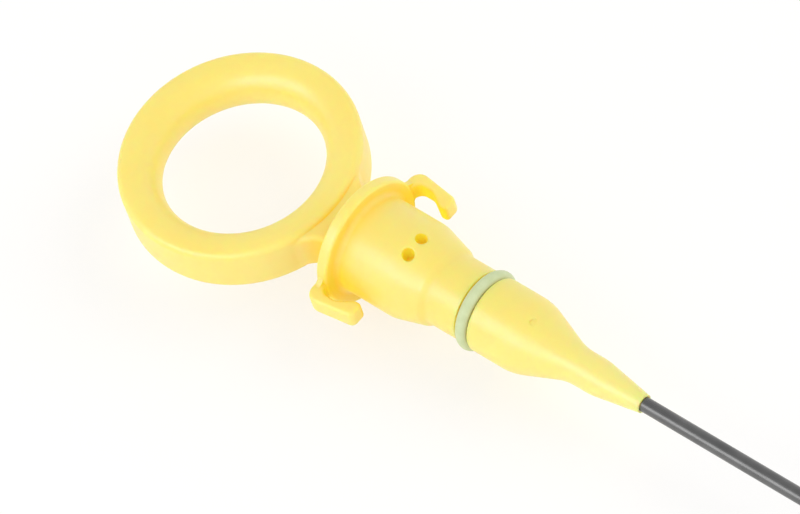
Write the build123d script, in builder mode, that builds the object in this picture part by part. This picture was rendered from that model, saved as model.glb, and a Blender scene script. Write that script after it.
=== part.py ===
# Engine oil dipstick: a yellow moulded handle with a finger ring, a rubber seal ring in its groove,
# and a steel rod that is moulded into the handle and ends in a flat measuring blade.
#
# Millimetres. Stations along the stick are measured from the centre of the finger ring towards the
# blade. The stick lies at rest, on its flange and on the end of its blade, so its own axes are tipped
# a little against the world's. The world's origin is on the stick's axis, at the middle of the seal land.

import os
from math import atan2, cos, degrees, sin, sqrt

from build123d import *

# Finger ring: a flat outer wall, and an inner wall that swells inward for the finger
ring_outer_radius = 20.0
ring_height = 8.6
ring_face_width = 2.3
ring_bulge = 4.25
ring_corner_radius = 1.1

# Neck between the ring and the flange
neck_length = 4.8
neck_width = 10.2
neck_height = 7.4
neck_flare_radius = 7.0
neck_edge_radius = 0.9
neck_bite = 0.04
neck_root_depth = 3.8

# Flange that covers the mouth of the dipstick tube, and its step down to the drum
flange_step = 2.5
flange_thickness = 2.1
flange_edge_radius = 0.5
flange_root_radius = 0.9

# Two claws on the flange that clip behind the collar of the tube
claw_width = 3.4
claw_reach = 14.35
claw_thickness = 2.35
claw_length = 7.1
claw_draw = 1.2
claw_inset = 0.2
claw_nib = 1.7
claw_nib_length = 1.3
claw_ramp_length = 2.8
claw_shoulder_radius = 2.0
claw_tip_radius = 1.0
claw_nib_radius = 0.7
claw_ramp_radius = 2.0
claw_root_radius = 1.5
claw_edge_radius = 0.6
web_inset = 0.55
web_bite = 0.15
web_flare_radius = 2.6
web_tip_margin = 0.65

# Plug body: drum, cone, a small step and the collar behind the seal groove
drum_radius = 8.3
drum_length = 10.0
cone_length = 5.4
cone_radius = 6.85
step_length = 1.1
collar_radius = 6.15
collar_length = 5.9
drum_blend_radius = 6.0
step_blend_radius = 1.2

# Seal groove and seal ring
groove_width = 2.6
groove_floor_radius = 4.8
groove_lip_radius = 0.2
seal_section = 2.1
seal_clearance = 0.02

# Seal land and nose
land_radius = 6.35
land_length = 7.9
nose_length = 8.9
waist_radius = 3.0
waist_length = 4.8
tip_length = 8.8
tip_radius = 1.55
nose_blend_radius = 10.0
waist_blend_radius = 9.0
tip_blend_radius = 15.0

# Two blind holes left by the pins that held the rod in the mould, and the round mark of the gate
pin_hole_diameter = 2.0
pin_hole_spacing = 3.3
pin_hole_depth = 3.0
pin_hole_setback = 1.0
pin_hole_lip_radius = 0.2
gate_mark_diameter = 1.2
gate_mark_depth = 0.15
gate_mark_offset = 1.7

# Rod, its flattened anchor inside the handle, and its measuring blade
rod_diameter = 2.45
rod_reach = 290.0
rod_clearance = 0.02
anchor_length = 7.0
anchor_width = 3.6
anchor_thickness = 1.35
taper_length = 6.0
taper_root_width = 2.2
taper_root_radius = 0.9
blade_length = 55.0
blade_width = 6.0
blade_thickness = 0.8
blade_edge_radius = 0.25
blade_end_chamfer = 1.0
mark_spacing = 20.0
mark_setback = 12.0
mark_width = 0.8
mark_depth = 0.2

flange_radius = drum_radius + flange_step

# Stations along the axis
flange_back = ring_outer_radius + neck_length
flange_front = flange_back + flange_thickness
drum_end = flange_front + drum_length
cone_end = drum_end + cone_length
collar_start = cone_end + step_length
groove_back = collar_start + collar_length
groove_front = groove_back + groove_width
land_end = groove_front + land_length
nose_end = land_end + nose_length
waist_end = nose_end + waist_length
handle_end = waist_end + tip_length
pin_hole_station = drum_end + pin_hole_setback
anchor_start = pin_hole_station - anchor_length / 2
anchor_end = anchor_start + anchor_length
rod_end = handle_end + rod_reach
blade_start = rod_end + taper_length
blade_end = blade_start + blade_length
land_middle = (groove_front + land_end) / 2

# The stick's own axes as it lies
rest_run = blade_end - (flange_front - flange_edge_radius)
rest_pitch = atan2(flange_radius - blade_thickness / 2, rest_run)
axis_dir = Vector(cos(rest_pitch), 0, -sin(rest_pitch))
up_dir = Vector(sin(rest_pitch), 0, cos(rest_pitch))
lying = Plane(origin=axis_dir * -land_middle, x_dir=axis_dir, z_dir=up_dir)
under_view = Plane(origin=lying.origin, x_dir=axis_dir, z_dir=lying.y_dir)
stick_axis = Axis(lying.origin, axis_dir)
ring_axis = Axis(lying.origin, up_dir)


def cross_section(station):
    """Plane across the stick at a station, with x to the side and z towards the blade."""
    return Plane(origin=lying.from_local_coords((station, 0, 0)), x_dir=lying.y_dir, z_dir=axis_dir)


def nose_radius(station):
    """Radius of the nose's cone at a station between the land and the waist."""
    return land_radius + (waist_radius - land_radius) * (station - land_end) / nose_length


ring_inner_radius = ring_outer_radius - ring_face_width
rod_radius = rod_diameter / 2
rod_bore_radius = rod_radius + rod_clearance

# Handle: one moulding
with BuildPart() as handle:
    # Neck, flared into the outer wall of the ring
    flare_tangent_radius = ring_outer_radius - neck_bite
    flare_y = neck_width / 2 + neck_flare_radius
    flare_x = sqrt((flare_tangent_radius + neck_flare_radius) ** 2 - flare_y**2)
    flare_share = flare_tangent_radius / (flare_tangent_radius + neck_flare_radius)
    neck_root = ring_outer_radius - neck_root_depth
    neck_end = flange_back + flange_thickness / 2
    with BuildSketch(lying) as neck:
        with BuildLine():
            side_line = Line((neck_end, neck_width / 2), (flare_x, neck_width / 2))
            flare = TangentArc(
                side_line @ 1, (flare_x * flare_share, flare_y * flare_share), tangent=side_line % 1
            )
            Polyline(flare @ 1, (neck_root, flare_y * flare_share), (neck_root, 0))
            Polyline((neck_root, 0), (neck_end, 0), side_line @ 0)
        make_face()
        mirror(about=Plane.XZ)
    extrude(amount=neck_height / 2, both=True)
    neck_edges = handle.edges(Select.LAST).filter_by(ring_axis, reverse=True)
    neck_sides = neck_edges.filter_by_position(stick_axis, flare_x * flare_share, neck_end, (False, False))
    fillet(neck_sides, neck_edge_radius)

    # Claws in the plane of the ring, with a nib at each tip that turns towards the drum
    claw_inner = claw_reach - claw_thickness
    claw_root = flange_radius - claw_thickness
    claw_back = flange_back + claw_inset
    claw_front = flange_front - claw_inset
    claw_tip = flange_front + claw_length
    nib_start = claw_tip - claw_nib_length
    with BuildSketch(lying) as claws:
        with BuildLine():
            claw_outline = FilletPolyline(
                (claw_back, claw_root),
                (claw_back, claw_reach),
                (claw_tip, claw_reach - claw_draw),
                (claw_tip, claw_inner - claw_nib),
                (nib_start, claw_inner - claw_nib),
                (nib_start - claw_ramp_length, claw_inner),
                (claw_front, claw_inner),
                (claw_front, claw_root),
                radius=[
                    claw_shoulder_radius,
                    claw_tip_radius,
                    claw_nib_radius,
                    claw_nib_radius,
                    claw_ramp_radius,
                    claw_root_radius,
                ],
            )
            Line(claw_outline @ 1, claw_outline @ 0)
        make_face()
        mirror(about=Plane.XZ)
    extrude(amount=claw_width / 2, both=True)
    claw_edges = handle.edges(Select.LAST).filter_by(ring_axis, reverse=True)
    fillet(claw_edges, claw_edge_radius)

    # Webs that flare from the sides of the claws into the rim of the flange
    web_reach = claw_inner + web_tip_margin
    with BuildSketch(cross_section(flange_back + web_inset)) as webs:
        Circle(flange_radius - web_bite)
        Rectangle(2 * web_reach, claw_width - 2 * web_bite)
        fillet(webs.vertices().sort_by_distance((0, 0, 0))[:4], web_flare_radius)
    extrude(amount=flange_thickness - 2 * web_inset)

    # Flange, drum, cone, step, collar, groove, land and nose, turned about the stick's axis
    with BuildSketch(under_view) as plug:
        with BuildLine():
            plug_outline = FilletPolyline(
                (flange_back, 0),
                (flange_back, flange_radius),
                (flange_front, flange_radius),
                (flange_front, drum_radius),
                (drum_end, drum_radius),
                (cone_end, cone_radius),
                (collar_start, collar_radius),
                (groove_back, collar_radius),
                (groove_back, groove_floor_radius),
                (groove_front, groove_floor_radius),
                (groove_front, land_radius),
                (land_end, land_radius),
                (nose_end, waist_radius),
                (waist_end, waist_radius),
                (handle_end, tip_radius),
                (handle_end, 0),
                radius=[
                    flange_edge_radius,
                    flange_edge_radius,
                    flange_root_radius,
                    drum_blend_radius,
                    step_blend_radius,
                    step_blend_radius,
                    groove_lip_radius,
                    0,
                    0,
                    groove_lip_radius,
                    nose_blend_radius,
                    waist_blend_radius,
                    tip_blend_radius,
                    0,
                ],
            )
            Line(plug_outline @ 1, plug_outline @ 0)
        make_face()
    revolve(axis=stick_axis)

    # Finger ring
    with BuildSketch(under_view) as ring:
        with BuildLine():
            ring_outline = FilletPolyline(
                (-ring_inner_radius, ring_height / 2),
                (-ring_outer_radius, ring_height / 2),
                (-ring_outer_radius, -ring_height / 2),
                (-ring_inner_radius, -ring_height / 2),
                radius=[ring_corner_radius, ring_corner_radius],
            )
            EllipticalCenterArc(
                (-ring_inner_radius, 0), ring_bulge, ring_height / 2, start_angle=-90, arc_size=180
            )
        make_face()
    revolve(axis=ring_axis)

    # Moulding marks on the upper side
    with BuildSketch(lying.offset(drum_radius)) as pin_holes:
        with Locations((pin_hole_station, 0)):
            with GridLocations(0, pin_hole_spacing, 1, 2):
                Circle(pin_hole_diameter / 2)
    extrude(amount=-pin_hole_depth, mode=Mode.SUBTRACT)
    hole_rims = handle.edges(Select.LAST).sort_by(ring_axis)[-2:]
    fillet(hole_rims, pin_hole_lip_radius)
    gate_station = land_end + gate_mark_offset
    gate_floor = lying.offset(nose_radius(gate_station) - gate_mark_depth)
    with BuildSketch(gate_floor) as gate_mark:
        with Locations((gate_station, 0)):
            Circle(gate_mark_diameter / 2)
    extrude(amount=land_radius, mode=Mode.SUBTRACT)

    # Room for the rod and its anchor
    with BuildSketch(cross_section(handle_end)) as bore:
        Circle(rod_bore_radius)
    extrude(amount=anchor_end - rod_clearance - handle_end, mode=Mode.SUBTRACT)
    with BuildSketch(cross_section(anchor_start - rod_clearance)) as pocket:
        Rectangle(anchor_width + 2 * rod_clearance, anchor_thickness + 2 * rod_clearance)
    extrude(amount=anchor_length + 2 * rod_clearance, mode=Mode.SUBTRACT)

# Seal ring, stretched on the floor of its groove
seal_ring_radius = groove_floor_radius + seal_clearance + seal_section / 2
with BuildPart() as seal_ring:
    with BuildSketch(under_view) as seal_profile:
        with Locations(((groove_back + groove_front) / 2, seal_ring_radius)):
            Circle(seal_section / 2)
    revolve(axis=stick_axis)

# Rod: round wire, coined flat at both ends
with BuildPart() as rod:
    # Measuring blade with rounded edges and bevelled end corners
    with BuildSketch(lying) as blade:
        with Locations((blade_start, 0)):
            Rectangle(blade_length, blade_width, align=(Align.MIN, Align.CENTER))
        chamfer(blade.vertices().group_by(Axis.X)[-1], blade_end_chamfer)
    extrude(amount=blade_thickness / 2, both=True)
    fillet(rod.edges().filter_by(stick_axis), blade_edge_radius)

    # Taper from the round wire to the flat blade
    with BuildSketch(cross_section(rod_end)) as taper_start:
        RectangleRounded(taper_root_width, taper_root_width, taper_root_radius)
    with BuildSketch(cross_section(blade_start)) as taper_end:
        RectangleRounded(blade_width, blade_thickness, blade_edge_radius)
    loft()

    with BuildSketch(cross_section(anchor_end)) as wire:
        Circle(rod_radius)
    extrude(amount=rod_end - anchor_end)
    with BuildSketch(cross_section(anchor_start)) as anchor:
        Rectangle(anchor_width, anchor_thickness)
    extrude(amount=anchor_length)

    # Two level marks, cut across both faces of the blade
    for face in (1, -1):
        with BuildSketch(lying.offset(face * blade_thickness / 2)) as marks:
            with Locations((blade_end - mark_setback - mark_spacing / 2, 0)):
                with GridLocations(mark_spacing, 0, 2, 1):
                    Rectangle(mark_width, blade_width)
        extrude(amount=-face * mark_depth, mode=Mode.SUBTRACT)

print("rest pitch in degrees", degrees(rest_pitch))

os.makedirs("parts", exist_ok=True)
for name, piece in (("handle", handle), ("seal_ring", seal_ring), ("rod", rod)):
    piece.part.label = name
    export_step(piece.part, f"parts/{name}.step")
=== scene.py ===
import math

import bpy
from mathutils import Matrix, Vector


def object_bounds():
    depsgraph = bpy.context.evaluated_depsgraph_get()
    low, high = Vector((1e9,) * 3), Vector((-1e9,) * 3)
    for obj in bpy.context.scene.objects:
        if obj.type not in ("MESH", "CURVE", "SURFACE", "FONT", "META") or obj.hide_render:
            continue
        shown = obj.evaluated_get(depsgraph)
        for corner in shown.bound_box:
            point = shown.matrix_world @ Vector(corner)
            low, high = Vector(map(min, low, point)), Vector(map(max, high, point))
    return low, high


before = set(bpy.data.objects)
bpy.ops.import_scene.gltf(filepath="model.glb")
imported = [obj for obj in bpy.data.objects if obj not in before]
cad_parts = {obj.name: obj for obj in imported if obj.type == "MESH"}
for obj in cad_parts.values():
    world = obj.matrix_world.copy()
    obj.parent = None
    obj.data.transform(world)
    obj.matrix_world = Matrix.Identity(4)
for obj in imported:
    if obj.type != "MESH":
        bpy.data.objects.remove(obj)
cad_low, cad_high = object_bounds()


# Handle: one moulding of yellow, slightly see-through plastic, with the finger ring, flange, claws and plug.
# Its satin skin has the faint grain of the mould. Corners and pin holes get painted shade: an occlusion mask
# turns their colour orange, for light that has passed through the plastic, but not at the gate mark. The thin
# nose gets painted light that makes it paler. Lengths are in metres.

flow_size = 0.018
flow_tones = (1.0, 0.765, 0.135), (1.0, 0.795, 0.165)
# Painted light: the colour grows paler towards the thin nose, as if light shone through its wall.
nose_range = 0.002, 0.022
painted_nose_light_tone = (1.0, 0.815, 0.215)
# Painted shade: corners and pin holes, found by an occlusion mask this far across, are coloured orange.
corner_size = 0.006
corner_range = 0.55, 0.95
painted_corner_shade_tones = (1.0, 0.80, 0.01), (1.0, 0.62, 0.0)
corner_samples = 8
gate_place = 0.0058, 0.0, 0.0061
gate_range = 0.0010, 0.0016
gloss_patch = 0.002
gloss_range = 0.33, 0.42
plastic_ior = 1.68
plastic_specular = 0.9
plastic_specular_tint = (0.5, 0.68, 1.0)
edge_softness = 0.0004
edge_samples = 6
sink_size = 0.006
sink_detail = 1.0
sink_depth = 0.00003
grain_size = 0.00025
grain_depth = 0.000004
see_through_share = 0.8
colour_reach = (1.0, 0.4, 0.08)
light_reach = 0.003
corner_reach = 0.009
nose_reach_share = 0.27
noise_middle = 0.3, 0.7


def finish_for(node_name, slot_name):
    """A new material on a CAD node, with its node tree, its shader and the node's own coordinates."""
    material = bpy.data.materials.new(slot_name)
    material.use_nodes = True
    tree = material.node_tree
    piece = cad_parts[node_name]
    piece.data.materials.clear()
    piece.data.materials.append(material)
    place = tree.nodes.new("ShaderNodeTexCoord").outputs["Object"]
    return tree, tree.nodes["Principled BSDF"], place


def mottle(tree, place, size, detail=3.0):
    """Soft noise whose patches are about `size` across."""
    noise = tree.nodes.new("ShaderNodeTexNoise")
    noise.inputs["Scale"].default_value = 1.0 / size
    noise.inputs["Detail"].default_value = detail
    tree.links.new(place, noise.inputs["Vector"])
    return noise.outputs["Fac"]


def spread(tree, value, low, high, start=noise_middle[0], stop=noise_middle[1]):
    """Stretches what lies between start and stop, such as the middle of a noise, to the range low to high."""
    stretch = tree.nodes.new("ShaderNodeMapRange")
    stretch.inputs["From Min"].default_value = start
    stretch.inputs["From Max"].default_value = stop
    stretch.inputs["To Min"].default_value = low
    stretch.inputs["To Max"].default_value = high
    tree.links.new(value, stretch.inputs["Value"])
    return stretch.outputs["Result"]


def two_tone(tree, share, tones):
    """A colour that goes from one tone to another over the middle of a noise."""
    ramp = tree.nodes.new("ShaderNodeValToRGB")
    for element, tone, position in zip(ramp.color_ramp.elements, tones, noise_middle):
        element.position = position
        element.color = (*tone, 1.0)
    tree.links.new(share, ramp.inputs["Fac"])
    return ramp.outputs["Color"]


def combined(tree, operation, first, second):
    """Two values put together by one sum."""
    node = tree.nodes.new("ShaderNodeMath")
    node.operation = operation
    tree.links.new(first, node.inputs[0])
    tree.links.new(second, node.inputs[1])
    return node.outputs["Value"]


def blended(tree, share, first, second):
    """A mix of two colours, each a plain tone or a node's output, as its share goes from 0 to 1."""
    mix = tree.nodes.new("ShaderNodeMix")
    mix.data_type = "RGBA"
    tree.links.new(share, mix.inputs["Factor"])
    for colour, socket in ((first, "A"), (second, "B")):
        if isinstance(colour, tuple):
            mix.inputs[socket].default_value = (*colour, 1.0)
        else:
            tree.links.new(colour, mix.inputs[socket])
    return mix.outputs["Result"]


def relief(tree, height, depth, below=None):
    """Bump of a given depth, laid over another bump if there is one."""
    bump = tree.nodes.new("ShaderNodeBump")
    bump.inputs["Distance"].default_value = depth
    tree.links.new(height, bump.inputs["Height"])
    if below is not None:
        tree.links.new(below, bump.inputs["Normal"])
    return bump.outputs["Normal"]


plastic, plastic_skin, on_handle = finish_for("handle", "handle_plastic")
# The occlusion mask for the painted shade in corners and pin holes; around the gate mark it stays open.
corners = plastic.nodes.new("ShaderNodeAmbientOcclusion")
corners.samples = corner_samples
corners.only_local = True
corners.inputs["Distance"].default_value = corner_size
from_gate = plastic.nodes.new("ShaderNodeVectorMath")
from_gate.operation = "DISTANCE"
from_gate.inputs[1].default_value = gate_place
plastic.links.new(on_handle, from_gate.inputs[0])
near_gate = spread(plastic, from_gate.outputs["Value"], 1.0, 0.0, *gate_range)
openness = combined(plastic, "MAXIMUM", corners.outputs["AO"], near_gate)
stick_place = plastic.nodes.new("ShaderNodeSeparateXYZ")
plastic.links.new(on_handle, stick_place.inputs["Vector"])
along_stick = stick_place.outputs["X"]

flow_tone = two_tone(plastic, mottle(plastic, on_handle, flow_size), flow_tones)
# Painted light: paler towards the thin nose.
flow_and_painted_nose_light = blended(plastic, spread(plastic, along_stick, 0.0, 1.0, *nose_range), flow_tone, painted_nose_light_tone)
# Painted shade: orange where the occlusion mask finds corners and pin holes.
painted_corner_shade_tone = two_tone(plastic, openness, painted_corner_shade_tones)
tone_with_painted_shade = blended(plastic, spread(plastic, openness, 0.0, 1.0, *corner_range), painted_corner_shade_tone, flow_and_painted_nose_light)
plastic.links.new(tone_with_painted_shade, plastic_skin.inputs["Base Color"])

open_gloss = spread(plastic, mottle(plastic, on_handle, gloss_patch), *gloss_range)
corner_gloss = spread(plastic, openness, 1.0, gloss_range[0], *corner_range)
plastic.links.new(combined(plastic, "MAXIMUM", open_gloss, corner_gloss), plastic_skin.inputs["Roughness"])
plastic_skin.inputs["IOR"].default_value = plastic_ior
plastic_skin.inputs["Specular IOR Level"].default_value = plastic_specular
plastic_skin.inputs["Specular Tint"].default_value = (*plastic_specular_tint, 1.0)

soft_edge = plastic.nodes.new("ShaderNodeBevel")
soft_edge.samples = edge_samples
soft_edge.inputs["Radius"].default_value = edge_softness
sink_marks = mottle(plastic, on_handle, sink_size, sink_detail)
sunk_skin = relief(plastic, sink_marks, sink_depth, soft_edge.outputs["Normal"])
grained_skin = relief(plastic, mottle(plastic, on_handle, grain_size), grain_depth, sunk_skin)
plastic.links.new(grained_skin, plastic_skin.inputs["Normal"])

plastic_skin.inputs["Subsurface Weight"].default_value = see_through_share
plastic_skin.inputs["Subsurface Radius"].default_value = colour_reach
reach_in_corners = spread(plastic, openness, corner_reach, light_reach)
reach_share = spread(plastic, along_stick, 1.0, nose_reach_share, *nose_range)
reach = combined(plastic, "MULTIPLY", reach_in_corners, reach_share)
plastic.links.new(reach, plastic_skin.inputs["Subsurface Scale"])


# Seal ring: a moulded ring of pale green rubber, stretched into the groove behind the seal land.
# Rubber is dull, with a fine bloom on its skin and a little grain.

rubber_tones = (0.55, 0.63, 0.35), (0.61, 0.68, 0.405)
bloom_size = 0.0015
rubber_patch = 0.0006
rubber_gloss_range = 0.50, 0.65
rubber_grain_size = 0.0002
rubber_grain_depth = 0.000008

rubber, rubber_skin, on_seal = finish_for("seal_ring", "seal_rubber")
bloom = mottle(rubber, on_seal, bloom_size)
rubber.links.new(two_tone(rubber, bloom, rubber_tones), rubber_skin.inputs["Base Color"])
rubber_gloss = spread(rubber, mottle(rubber, on_seal, rubber_patch), *rubber_gloss_range)
rubber.links.new(rubber_gloss, rubber_skin.inputs["Roughness"])
rubber_grain = relief(rubber, mottle(rubber, on_seal, rubber_grain_size), rubber_grain_depth)
rubber.links.new(rubber_grain, rubber_skin.inputs["Normal"])


# Rod: drawn steel wire with a dark satin coat, coined flat at its far end into the measuring blade.
# Drawing leaves fine lines along it, which catch the light as streaks.

steel_tones = (0.145, 0.145, 0.145), (0.185, 0.185, 0.185)
steel_share = 0.9
coat_patch = 0.004
line_width = 0.00025
line_stretch = 0.02
line_gloss_range = 0.24, 0.34
line_depth = 0.000006

steel, steel_skin, on_rod = finish_for("rod", "rod_steel")
drawn_out = steel.nodes.new("ShaderNodeMapping")
drawn_out.inputs["Scale"].default_value = (line_stretch, 1.0, 1.0)
steel.links.new(on_rod, drawn_out.inputs["Vector"])
drawn_lines = mottle(steel, drawn_out.outputs["Vector"], line_width)
coat = mottle(steel, on_rod, coat_patch)
steel.links.new(two_tone(steel, coat, steel_tones), steel_skin.inputs["Base Color"])
steel.links.new(spread(steel, drawn_lines, *line_gloss_range), steel_skin.inputs["Roughness"])
steel.links.new(relief(steel, drawn_lines, line_depth), steel_skin.inputs["Normal"])
steel_skin.inputs["Metallic"].default_value = steel_share


# Table: a seamless white paper sheet. Seen by the camera and in reflections it is partly white by itself,
# so that only a part of the soft, warm shadow under the stick shows.

table_size = 6.0
paper_tone = (0.96, 0.945, 0.925)
white_share = 0.55

bpy.ops.mesh.primitive_plane_add(size=table_size, location=(0.0, 0.0, cad_low.z))
table = bpy.context.object
table.name = "table"
sheet = bpy.data.materials.new("white_sheet")
sheet.use_nodes = True
paper = sheet.node_tree
paper.nodes.clear()
lit_paper = paper.nodes.new("ShaderNodeBsdfDiffuse")
lit_paper.inputs["Color"].default_value = (*paper_tone, 1.0)
white_paper = paper.nodes.new("ShaderNodeEmission")
rays = paper.nodes.new("ShaderNodeLightPath")
seen = combined(paper, "MAXIMUM", rays.outputs["Is Camera Ray"], rays.outputs["Is Glossy Ray"])
paper_mix = paper.nodes.new("ShaderNodeMixShader")
paper.links.new(spread(paper, seen, 0.0, white_share, 0.0, 1.0), paper_mix.inputs["Fac"])
paper.links.new(lit_paper.outputs["BSDF"], paper_mix.inputs[1])
paper.links.new(white_paper.outputs["Emission"], paper_mix.inputs[2])
sheet_out = paper.nodes.new("ShaderNodeOutputMaterial")
paper.links.new(paper_mix.outputs["Shader"], sheet_out.inputs["Surface"])
table.data.materials.append(sheet)


# Light: a white room, brighter towards its walls, and two large soft lamps. The one behind the far claw gives
# the shadow and no highlight. The long one in front, along the stick, casts no shadow and gives the pale band
# on the plug and the rod.

room_tone = (1.0, 1.0, 1.0, 1.0)
wall_light = 0.985
ceiling_light = 0.57

room = bpy.data.worlds.new("white_room")
bpy.context.scene.world = room
room.use_nodes = True
air = room.node_tree
room_light = air.nodes["Background"]
room_light.inputs["Color"].default_value = room_tone
facing = air.nodes.new("ShaderNodeSeparateXYZ")
air.links.new(air.nodes.new("ShaderNodeTexCoord").outputs["Generated"], facing.inputs["Vector"])
height_light = spread(air, facing.outputs["Z"], wall_light, ceiling_light, 0.0, 1.0)
air.links.new(height_light, room_light.inputs["Strength"])
room_seen = air.nodes.new("ShaderNodeBackground")
room_seen.inputs["Color"].default_value = room_tone
camera_only = air.nodes.new("ShaderNodeLightPath").outputs["Is Camera Ray"]
room_mix = air.nodes.new("ShaderNodeMixShader")
air.links.new(camera_only, room_mix.inputs["Fac"])
air.links.new(room_light.outputs["Background"], room_mix.inputs[1])
air.links.new(room_seen.outputs["Background"], room_mix.inputs[2])
air.links.new(room_mix.outputs["Shader"], air.nodes["World Output"].inputs["Surface"])


def soft_lamp(name, place, width, height, power, shadow, shine):
    """A rectangular lamp that faces the seal land, with or without a shadow and a highlight."""
    data = bpy.data.lights.new(name, "AREA")
    data.shape = "RECTANGLE"
    data.size = width
    data.size_y = height
    data.energy = power
    data.use_shadow = shadow
    lamp = bpy.data.objects.new(name, data)
    lamp.location = place
    lamp.rotation_euler = Vector(place).to_track_quat("Z", "Y").to_euler()
    lamp.visible_camera = False
    lamp.visible_glossy = shine
    bpy.context.scene.collection.objects.link(lamp)


soft_lamp("back_lamp", place=(0.76, 0.92, 0.92),
          width=1.2, height=1.2, power=6.8, shadow=True, shine=False)
soft_lamp("front_lamp", place=(-0.13, -0.84, 0.69),
          width=1.6, height=0.6, power=6.0, shadow=False, shine=True)


# Camera: the photograph's view, from the side of the near claw and well above the table. It is turned about
# its own axis, because the stick in the photograph lies rolled over on the edge of its ring. The focal length
# and the sensor are in millimetres, the turns in degrees.

focal_length = 270.0
sensor_width = 36.0
camera_place = (0.450615, -0.309220, 0.749322)
camera_turns = (35.2603, 12.3432, 40.0202)

lens = bpy.data.cameras.new("camera")
lens.lens = focal_length
lens.sensor_width = sensor_width
camera = bpy.data.objects.new("camera", lens)
camera.location = camera_place
camera.rotation_euler = [math.radians(turn) for turn in camera_turns]
bpy.context.scene.collection.objects.link(camera)
bpy.context.scene.camera = camera
bpy.context.scene.view_settings.view_transform = "Standard"
